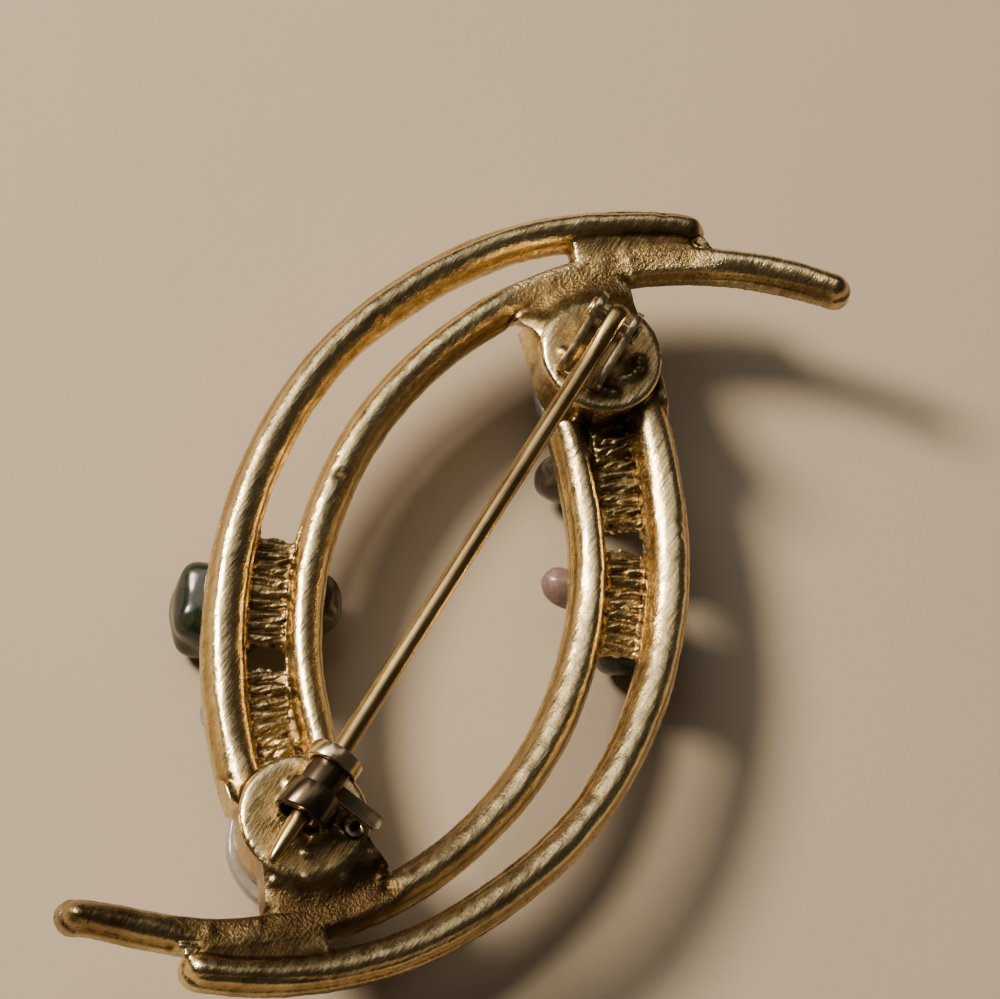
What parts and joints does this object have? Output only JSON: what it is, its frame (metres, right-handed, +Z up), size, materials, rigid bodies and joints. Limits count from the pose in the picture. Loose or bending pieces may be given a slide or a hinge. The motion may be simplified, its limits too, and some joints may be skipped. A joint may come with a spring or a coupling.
{
  "type": "branch brooch",
  "caption": "Gold-toned brooch of two pairs of curved branch rods with polished stones, shown back up, with a swinging pin and a turning safety catch.",
  "frame": {"origin": "on the surface that the brooch lies on, below the middle of its frame", "axes": "+Z up, out of the brooch's back; +Y along its length, from the catch towards the hinge; +X across it"},
  "size_m": [0.0322, 0.0666, 0.0132],
  "materials": {
    "gold_metal": "brushed cast metal with a worn gold tone",
    "pin_metal": "drawn wire, smooth",
    "sleeve_metal": "polished, darkened",
    "grey_stone": "polished",
    "clear_glass": "clear, domed",
    "green_stone": "tumbled and polished",
    "olive_stone": "tumbled and polished",
    "lilac_stone": "tumbled and polished",
    "dark_green_stone": "tumbled and polished",
    "black_stone": "tumbled and polished",
    "pink_stone": "tumbled and polished"
  },
  "bodies": {
    "brooch": {"frame": "gold_metal", "hinge_rivet": "pin_metal", "cabochon_upper": "grey_stone", "cabochon_lower": "clear_glass", "stone_green": "green_stone", "stone_olive": "olive_stone", "stone_lilac": "lilac_stone", "stone_dark_green": "dark_green_stone", "stone_black": "black_stone", "stone_pink": "pink_stone"},
    "pin": {"pin_stem": "pin_metal"},
    "latch": {"catch_sleeve": "sleeve_metal"}
  },
  "joints": [
    {"name": "pin_swing", "type": "hinge", "parent": "brooch", "child": "pin", "pos_m": [-0.00155, 0.0201, 0.01152], "axis": [-0.9982, -0.0604, 0], "range_deg": [0, 105]},
    {"name": "catch_lock", "type": "hinge", "parent": "brooch", "child": "latch", "pos_m": [0.00072, -0.01743, 0.01152], "axis": [0.0604, -0.9982, 0], "range_deg": [0, 120]}
  ]
}
